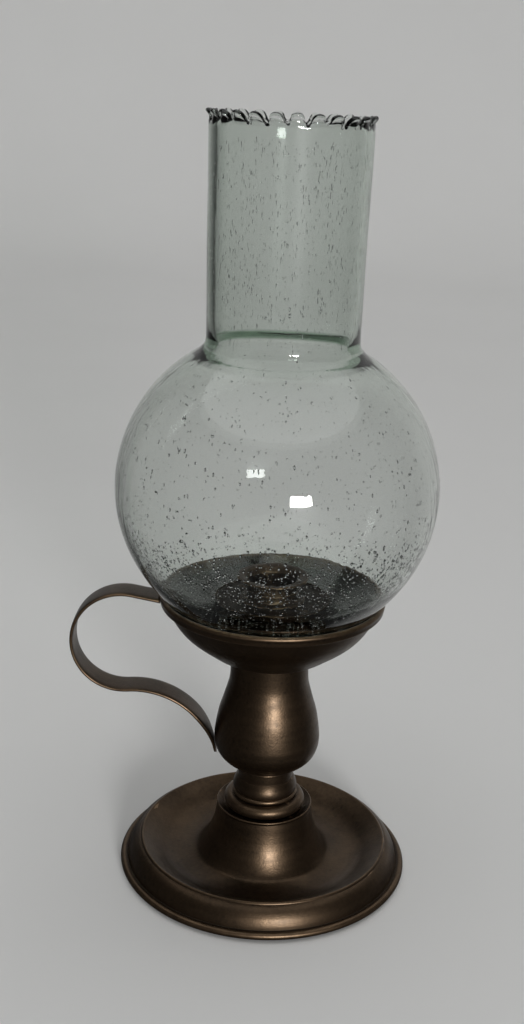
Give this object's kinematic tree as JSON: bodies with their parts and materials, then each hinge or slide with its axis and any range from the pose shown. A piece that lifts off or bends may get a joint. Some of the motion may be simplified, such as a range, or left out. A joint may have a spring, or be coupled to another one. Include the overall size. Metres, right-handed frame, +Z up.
{
  "type": "hurricane candle lamp",
  "caption": "Footed candle holder with a vase-shaped stem, a strap finger loop, and a lift-off globe chimney of bubbled glass with a crimped rim.",
  "frame": {"origin": "middle of the foot, on the surface that the lamp stands on", "axes": "+Z up along the tie rod; the handle points along -X"},
  "size_m": [0.1717, 0.15, 0.3641],
  "materials": {
    "antique_bronze": "satin, dark patina",
    "steel": "zinc plated",
    "felt": "matte",
    "bubble_glass": "clear, seeded"
  },
  "bodies": {
    "lamp": {"base_felt": "felt", "foot": "antique_bronze", "plate_washer": "steel", "spring_washer": "steel", "base_nut": "steel", "tie_rod": "steel", "bead_ring": "antique_bronze", "collar": "antique_bronze", "stem": "antique_bronze", "dish": "antique_bronze", "riser": "antique_bronze", "drip_pan": "antique_bronze", "candle_socket": "antique_bronze", "handle": "antique_bronze"},
    "chimney": {"glass_chimney": "bubble_glass"}
  },
  "joints": [
    {"name": "chimney_lift", "type": "slide", "parent": "lamp", "child": "chimney", "axis": [0, 0, 1], "range_m": [0, 0.08]}
  ]
}
